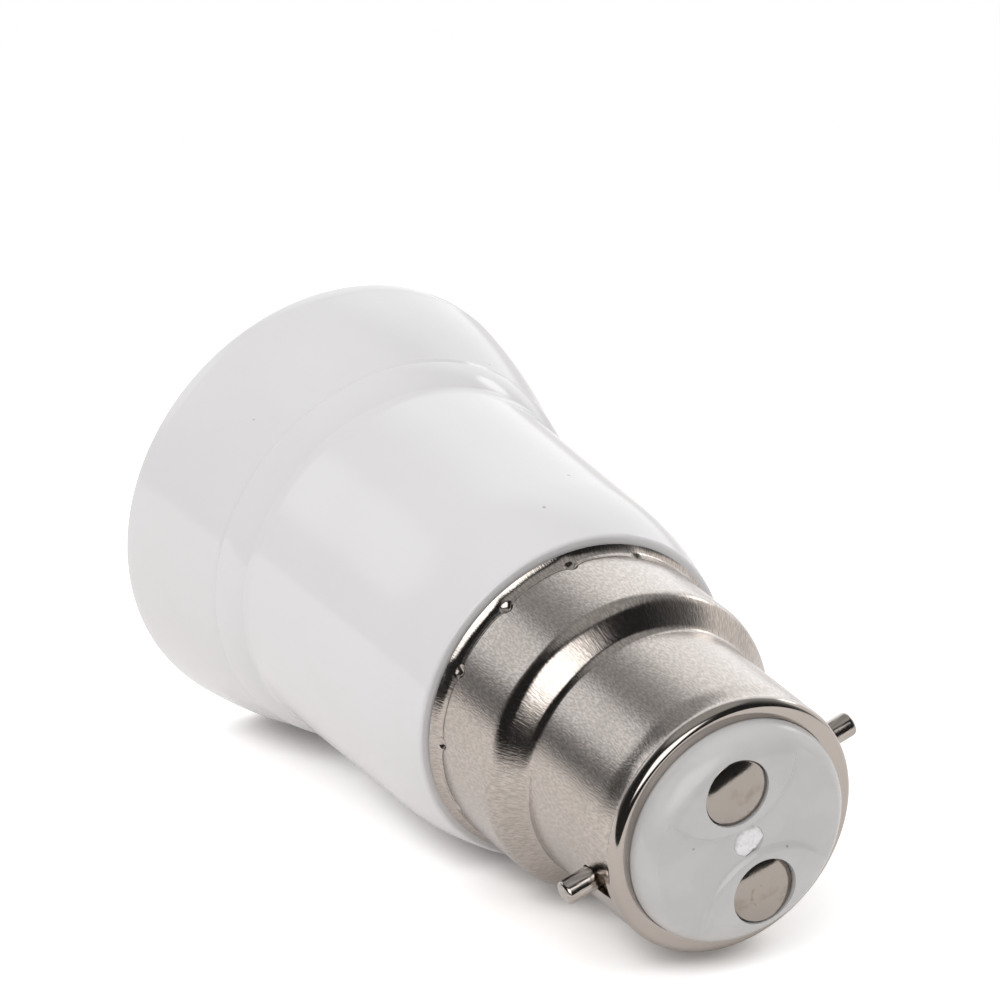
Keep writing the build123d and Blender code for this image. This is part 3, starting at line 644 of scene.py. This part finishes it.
def makeShell(s):
    # Grid over (angle, profile row): the crease rises at each punch mark, the mark dents both faces, and
    # rows under a pin sag by sqrt(half^2 - y^2), so that the slot ends in a half circle with a raised burr
    angles, slotEdge = shellAngles(s)
    profile, slotTop = shellProfile(s)
    r, z, lift = profile[:, :1], profile[:, 1:2], profile[:, 2:]
    along = np.gradient(profile[:, :2], axis=0)
    along /= np.linalg.norm(along, axis=1, keepdims=True)
    away = stakeDistance(s, angles)[None, :]
    scallop = s["scallopRise"] * np.exp(-(away / s["scallopHalf"]) ** 2)
    height = z + lift * scallop
    rise = height - s["creaseHeight"] - scallop
    gap = np.sqrt(away ** 2 + (rise + s["pitDrop"] * s["scallopRise"]) ** 2)
    dent = s["pitDepth"] * np.clip(1 - (gap / s["pitRadius"]) ** 2, 0, 1) ** s["pitPower"]
    dent = dent + s["creaseDepth"] * np.exp(-(rise / s["creaseHalf"]) ** 2)
    across = s["barrelRadius"] * np.sin(angles)[None, :]
    half = np.sqrt(np.clip(s["slotHalf"] ** 2 - across ** 2, 0, None))
    fade = np.clip(1 - (s["pinHeight"] - z) / s["slotFade"], 0, 1) * (z <= s["pinHeight"])
    height = height - half * fade
    ring = np.hypot(across, height - s["pinHeight"]) - s["slotHalf"]
    turn = np.arctan2(across, s["pinHeight"] - height)
    wave = np.sin(s["burrWaves"] * turn + s["burrPhase"] * np.sign(np.cos(angles)))
    ragged = 1 - s["burrRagged"] + s["burrRagged"] * wave
    onBarrel = (z > s["barrelStart"]) & (z <= s["pinHeight"])
    burr = s["burrRise"] * ragged * np.exp(-(ring / s["burrHalf"]) ** 2) * onBarrel
    radius = r - dent + burr
    outer = np.stack((radius * np.cos(angles), radius * np.sin(angles), height), axis=2)
    innerRadius = radius - s["wall"] * along[:, 1:2]
    innerHeight = height + s["wall"] * along[:, :1]
    inner = np.stack((innerRadius * np.cos(angles), innerRadius * np.sin(angles), innerHeight), axis=2)
    middle = np.degrees(angles + (np.roll(angles, -1) - angles) % (2 * np.pi) / 2)
    inSlot = np.abs((middle + 90) % 180 - 90) < slotEdge
    centre = (profile[:-1, 1] + profile[1:, 1]) / 2
    slotRow = (centre > s["pinHeight"]) & (centre < slotTop)
    points, faces = sheetShell(outer, inner, ~(slotRow[:, None] & inSlot[None, :]))
    return buildPiece("drawn_shell", points, faces, nickelFinish, ["bayonet_shell"], sharp=50)


makeShell(shell)


# Bayonet pins

pin = {
    "radius": 1.025, "root": 6.35, "tip": 13.7, "height": shell["pinHeight"],
    "endEdge": 0.35, "rootEdge": 0.15, "turns": 64,
}


def makePin(s, side, name, node):
    # Profile turned about the pin's own axis, then laid along X
    corners = [(0, s["root"]), (s["radius"], s["root"], s["rootEdge"]),
               (s["radius"], s["tip"], s["endEdge"]), (0, s["tip"])]
    points, faces = closedLathe(roundedProfile(corners), s["turns"])
    x, y, z = points.T
    points = np.stack((side * z, side * y, x + s["height"]), axis=1)
    faces = [block[:, ::-1] for block in faces]
    return buildPiece(name, points, faces, pinFinish, [node])


makePin(pin, 1, "round_pin_a", "bayonet_pin_a")
makePin(pin, -1, "round_pin_b", "bayonet_pin_b")


# Contact plates

plate = {
    "offset": 5.0, "radius": 2.775, "low": 65.61, "edge": 66.19, "crown": 66.54, "domePower": 2.6,
    "rings": 30, "ringPower": 0.7, "softEdge": 0.1, "edgeRows": 7,
    "lean": (-0.195, -0.981), "leanSlope": {-1: 0.0, 1: 0.08},  # way down, and slope of each side's disc
    "stemRadius": 1.2, "stemLow": 54.09, "boreRadius": 0.65, "boreTop": 60.09,
    "stemEdge": 0.05, "rootEdge": 0.03, "turns": 96,
}


def makePlate(s, side, name, node):
    # Hollow stem and domed disc as one profile: the dome falls with a power of the share of its radius, and
    # the disc's upper half is then sheared down along lean
    stemEdge = s["stemEdge"]
    corners = [
        (0, s["boreTop"]),
        (s["boreRadius"], s["boreTop"], stemEdge),
        (s["boreRadius"], s["stemLow"], stemEdge),
        (s["stemRadius"], s["stemLow"], stemEdge),
        (s["stemRadius"], s["low"], s["rootEdge"]),
        (s["radius"], s["low"], stemEdge),
        (s["radius"], s["edge"] - s["softEdge"]),
    ]
    share = np.linspace(1, 0, s["rings"]) ** s["ringPower"]
    turn = np.linspace(0, np.pi / 2, s["edgeRows"])[:-1]
    rim = np.stack((s["radius"] - s["softEdge"] * (1 - np.cos(turn)),
                    s["edge"] - s["softEdge"] * (1 - np.sin(turn))), axis=1)
    dome = np.stack(((s["radius"] - s["softEdge"]) * share,
                     s["edge"] + (s["crown"] - s["edge"]) * (1 - share ** s["domePower"])), axis=1)
    profile = np.concatenate((roundedProfile(corners)[:-1], rim, dome))
    points, faces = closedLathe(profile, s["turns"])
    ahead = points[:, :2] @ np.array(s["lean"]) / s["radius"]
    onDisc = points[:, 2] > (s["low"] + s["edge"]) / 2
    points[:, 2] -= np.where(onDisc, s["leanSlope"][side] * s["radius"] * (1 + ahead), 0)
    points = points + np.array([0, side * s["offset"], 0])
    return buildPiece(name, points, faces, metalFinish["contactNickel"], [node])


makePlate(plate, -1, "domed_contact_a", "contact_plate_a")
makePlate(plate, 1, "domed_contact_b", "contact_plate_b")


# Torn gate mark

gate = {
    "height": 65.83, "radius": 1.28, "rise": 0.38, "edgePower": 6, "rings": 14, "turns": 72,
    "outline": ((0.10, 2, 0.6), (0.07, 3, -0.8), (0.04, 7, 0.0), (0.025, 13, 1.2)),  # size, waves, phase
    "crumbs": ((0.22, 5, 7), (0.16, 9, -11)),  # size, waves, twist from the middle to the edge
    "crumbMean": 0.5, "crumbShare": 0.14,
}


def makeGate(s):
    # Ragged button over (share of radius, angle): the outline and the top are sums of sines of the angle
    share = np.linspace(0, 1, s["rings"])[1:, None]
    angle = np.linspace(0, 2 * np.pi, s["turns"], endpoint=False)[None, :]
    outline = 1 + sum(size * np.sin(waves * angle + phase) for size, waves, phase in s["outline"])
    crumbs = sum(size * np.sin(waves * angle + twist * share) for size, waves, twist in s["crumbs"])
    top = 1 - s["crumbShare"] + s["crumbShare"] * (s["crumbMean"] + crumbs)
    height = s["height"] + s["rise"] * (1 - share ** s["edgePower"]) * top
    radius = s["radius"] * outline * share
    surface = np.stack((radius * np.cos(angle), radius * np.sin(angle), height), axis=2)[::-1]
    points, faces = closedGrid(surface, (0, 0, s["height"]), (0, 0, height[0].mean()))
    return buildPiece("torn_gate", points, faces, tornFinish, [])


makeGate(gate)


# Finishes of the carried-over pieces

carriedOver = {
    "cap_insulator": greyFinish,
    "screw_shell": metalFinish["screwAluminium"],
    "centre_contact_base": metalFinish["springBrass"],
    "centre_contact_leaf": metalFinish["springBrass"],
    "centre_rivet": metalFinish["rivetBrass"],
    "shell_rivet_a": metalFinish["rivetBrass"],
    "shell_rivet_b": metalFinish["rivetBrass"],
    "centre_tag": metalFinish["springBrass"],
    "shell_tag": metalFinish["springBrass"],
    "solder_joint_a": metalFinish["dullSolder"],
    "solder_joint_b": metalFinish["dullSolder"],
    "wire_a": sleeveFinish,
    "wire_b": sleeveFinish,
}
for node, finish in carriedOver.items():
    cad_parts[node].material_slots[0].material = finish
print("carried over:", len(carriedOver), "nodes")


# Studio: the part lies on a pale table that touches its mouth and its body

studio = {
    "up": Vector((-0.3521, -0.9278, -0.1233)),  # away from the table, in the part's own frame
    "back": Vector((-0.44075, 0.29837, -0.84659)),  # along the table, away from the camera
    "middle": Vector((0.0, 0.0, 0.033)),  # metres
    "tableDrop": 19.57,  # table below the part's axis at its mouth
    "tableNear": 0.082, "tableFar": 0.16, "tableSide": 1.2,  # metres
    "tableColor": (1.0, 0.985, 0.973, 1), "tableGlow": 0.35, "tableMirrored": 0.05, "tableFill": 0.05,
    "paintedShadowReach": 0.0036,  # metres, reach of the painted contact shadow
    "paintedShadowSpan": (0.1, 0.65), "contactSamples": 8,  # open share of the view up over which the painted contact shadow gives way to the glow
    "sky": ((-1.0, 0.97), (-0.2, 0.82), (0.1, 0.58), (0.5, 0.83), (1.0, 0.95)),  # plain light, low to high
    "boxWidth": 0.90, "boxHeight": 0.75, "boxDistance": 1.0,  # metres, of the lamp and of its mirror image
    "lampAzimuth": -150, "lampElevation": 52, "lampPower": 3.0,
    "boxAzimuth": 172, "boxElevation": 23, "boxEdge": 0.12, "boxMirrored": (3.0, 3.0, 3.0, 1),
    "room": ((-0.2, 0.03), (0.0, 0.10), (0.25, 0.24), (0.38, 0.40), (0.46, 0.40), (0.57, 0.5),
             (0.65, 0.95), (0.75, 1.4), (0.9, 1.55), (1.0, 1.55)),  # mirrored level, camera's side to back
    "roomTint": (1.0, 1.02, 1.04),
    "cards": (  # mirrored one over the other: colour, azimuth, elevation, cosines at its soft edge
        ((1.15, 1.18, 1.21, 1), -64, 30, (0.95, 0.988)),
        ((0.5, 0.5, 0.5, 1), 0, 90, (0.78, 0.92)),
        ((1.05, 1.03, 1.01, 1), 54, 14, (0.925, 0.965)),
        ((3.6, 3.6, 3.6, 1), 40, 24.5, (0.9915, 0.997)),
    ),
    "farTable": (0.86, 0.845, 0.835, 1),  # mirrored below the horizon, behind the part
    "farTableUp": (0.06, -0.06), "farTableBack": (0.2, 0.5),
}
studio["up"].normalize()
studio["back"] = (studio["back"] - studio["back"].dot(studio["up"]) * studio["up"]).normalized()
studio["side"] = studio["back"].cross(studio["up"])


def studioDirection(s, azimuth, elevation):
    # Azimuth 0 is behind the part, seen from the camera, and turns to the right
    a, e = np.radians(azimuth), np.radians(elevation)
    level = s["back"] * float(np.cos(a)) + s["side"] * float(np.sin(a))
    return (level * float(np.cos(e)) + s["up"] * float(np.sin(e))).normalized()


def makeTable(s):
    # Flat sheet over (back, side), seen from above only; its glow makes the lit table white to the eye, and
    # the glow fades where the part is close above it, which paints a darker contact shadow
    across = np.array([-s["tableSide"], s["tableSide"]])
    away = np.array([-s["tableNear"], s["tableFar"]])
    i, j = np.meshgrid(away, across, indexing="ij")
    origin = np.array(-s["up"] * s["tableDrop"] * mm)
    points = origin + i[..., None] * np.array(s["back"]) + j[..., None] * np.array(s["side"])
    mesh = bpy.data.meshes.new("table")
    mesh.from_pydata(points.reshape(-1, 3).tolist(), [], [[0, 1, 3, 2]])
    material, tree, shader = newMaterial("paleTable")
    path, mirrored = mirroredRay(tree)
    # Painted contact shadow: the glow fades where ambient occlusion finds the part close above
    contact = addNode(tree, "ShaderNodeAmbientOcclusion", {"Distance": s["paintedShadowReach"]},
                      samples=s["contactSamples"])
    seen = smoothRange(tree, contact.outputs["AO"], s["paintedShadowSpan"], (0.0, s["tableGlow"]))
    glow = math(tree, "MULTIPLY", path.outputs["Is Camera Ray"], seen)
    glow = math(tree, "ADD", glow, math(tree, "MULTIPLY", mirrored, s["tableMirrored"]))
    glow = math(tree, "ADD", glow, math(tree, "MULTIPLY", path.outputs["Is Diffuse Ray"], s["tableFill"]))
    side = addNode(tree, "ShaderNodeNewGeometry")
    feedInputs(tree, shader, {
        "Base Color": s["tableColor"],
        "Specular IOR Level": 0.0,
        "Emission Color": (1, 1, 1, 1),
        "Emission Strength": glow,
        "Alpha": math(tree, "SUBTRACT", 1.0, side.outputs["Backfacing"]),
    })
    mesh.materials.append(material)
    table = bpy.data.objects.new("table", mesh)
    bpy.context.scene.collection.objects.link(table)
    table.visible_shadow = False
    return table


def makeWorld(s):
    # White to the eye and a soft sky for plain light; in reflections a room that is dark on the camera's
    # side and bright at the back, with cards, the far table and the soft box
    world = bpy.data.worlds.new("studio")
    bpy.context.scene.world = world
    world.use_nodes = True
    world.cycles.sampling_method = "NONE"
    tree = world.node_tree
    place = addNode(tree, "ShaderNodeTexCoord")

    def towards(direction):
        inputs = {0: place.outputs["Generated"], 1: direction}
        return addNode(tree, "ShaderNodeVectorMath", inputs, operation="DOT_PRODUCT").outputs["Value"]

    room = levelRamp(tree, towards(s["back"]), s["room"], s["roomTint"])
    for color, azimuth, elevation, edge in s["cards"]:
        card = towards(studioDirection(s, azimuth, elevation))
        room = mixColor(tree, smoothRange(tree, card, edge), room, color)
    below = math(tree, "MULTIPLY", smoothRange(tree, towards(s["up"]), s["farTableUp"]),
                 smoothRange(tree, towards(s["back"]), s["farTableBack"]))
    room = mixColor(tree, below, room, s["farTable"])
    box = studioDirection(s, s["boxAzimuth"], s["boxElevation"])
    level = s["up"].cross(box).normalized()
    inBox = math(tree, "GREATER_THAN", towards(box), 0.0)
    for axis, size in ((level, s["boxWidth"]), (box.cross(level), s["boxHeight"])):
        reach = math(tree, "ABSOLUTE", math(tree, "DIVIDE", towards(axis), towards(box)))
        half = size / 2 / s["boxDistance"]
        inside = smoothRange(tree, reach, (half + s["boxEdge"], half - s["boxEdge"]))
        inBox = math(tree, "MULTIPLY", inBox, inside)
    room = mixColor(tree, inBox, room, s["boxMirrored"])
    path, mirrored = mirroredRay(tree)
    light = mixColor(tree, mirrored, levelRamp(tree, towards(s["up"]), s["sky"]), room)
    final = mixColor(tree, path.outputs["Is Camera Ray"], light, (1, 1, 1, 1))
    feedInputs(tree, tree.nodes["Background"], {"Color": final})
    return world


def makeKeyLight(s):
    # Soft lamp above, on the camera's side and to the left; reflections show the world's soft box instead
    lamp = bpy.data.lights.new("keyLight", "AREA")
    lamp.shape = "RECTANGLE"
    lamp.size, lamp.size_y = s["boxWidth"], s["boxHeight"]
    lamp.energy = s["lampPower"]
    box = bpy.data.objects.new("keyLight", lamp)
    direction = studioDirection(s, s["lampAzimuth"], s["lampElevation"])
    box.location = s["middle"] + direction * s["boxDistance"]
    level = s["up"].cross(direction).normalized()
    box.rotation_euler = Matrix((level, direction.cross(level), direction)).transposed().to_euler()
    bpy.context.scene.collection.objects.link(box)
    box.visible_camera = False
    box.visible_glossy = False
    return box


makeTable(studio)
makeWorld(studio)
makeKeyLight(studio)
print("studio: table, world and key light")


# Camera at the photograph's viewing angle

camera = {
    "eye": (0.14504, -0.29143, 0.39552),  # metres
    "forward": (-0.30655, 0.57653, -0.75739),
    "up": (-0.47310, -0.78274, -0.40435),
    "lens": 216, "sensor": 36, "clip": (0.01, 20),  # clip in metres
}


def makeCamera(s):
    # Placed by its eye, its way forward and its way up
    lens = bpy.data.cameras.new("photoCamera")
    lens.lens, lens.sensor_width = s["lens"], s["sensor"]
    lens.clip_start, lens.clip_end = s["clip"]
    eye = bpy.data.objects.new("photoCamera", lens)
    forward = Vector(s["forward"]).normalized()
    right = forward.cross(Vector(s["up"])).normalized()
    turn = Matrix((right, right.cross(forward), -forward)).transposed()
    eye.matrix_world = Matrix.Translation(s["eye"]) @ turn.to_4x4()
    bpy.context.scene.collection.objects.link(eye)
    bpy.context.scene.camera = eye
    return eye


makeCamera(camera)
bpy.context.scene.view_settings.view_transform = "Standard"
print("camera: lens", camera["lens"], "mm")
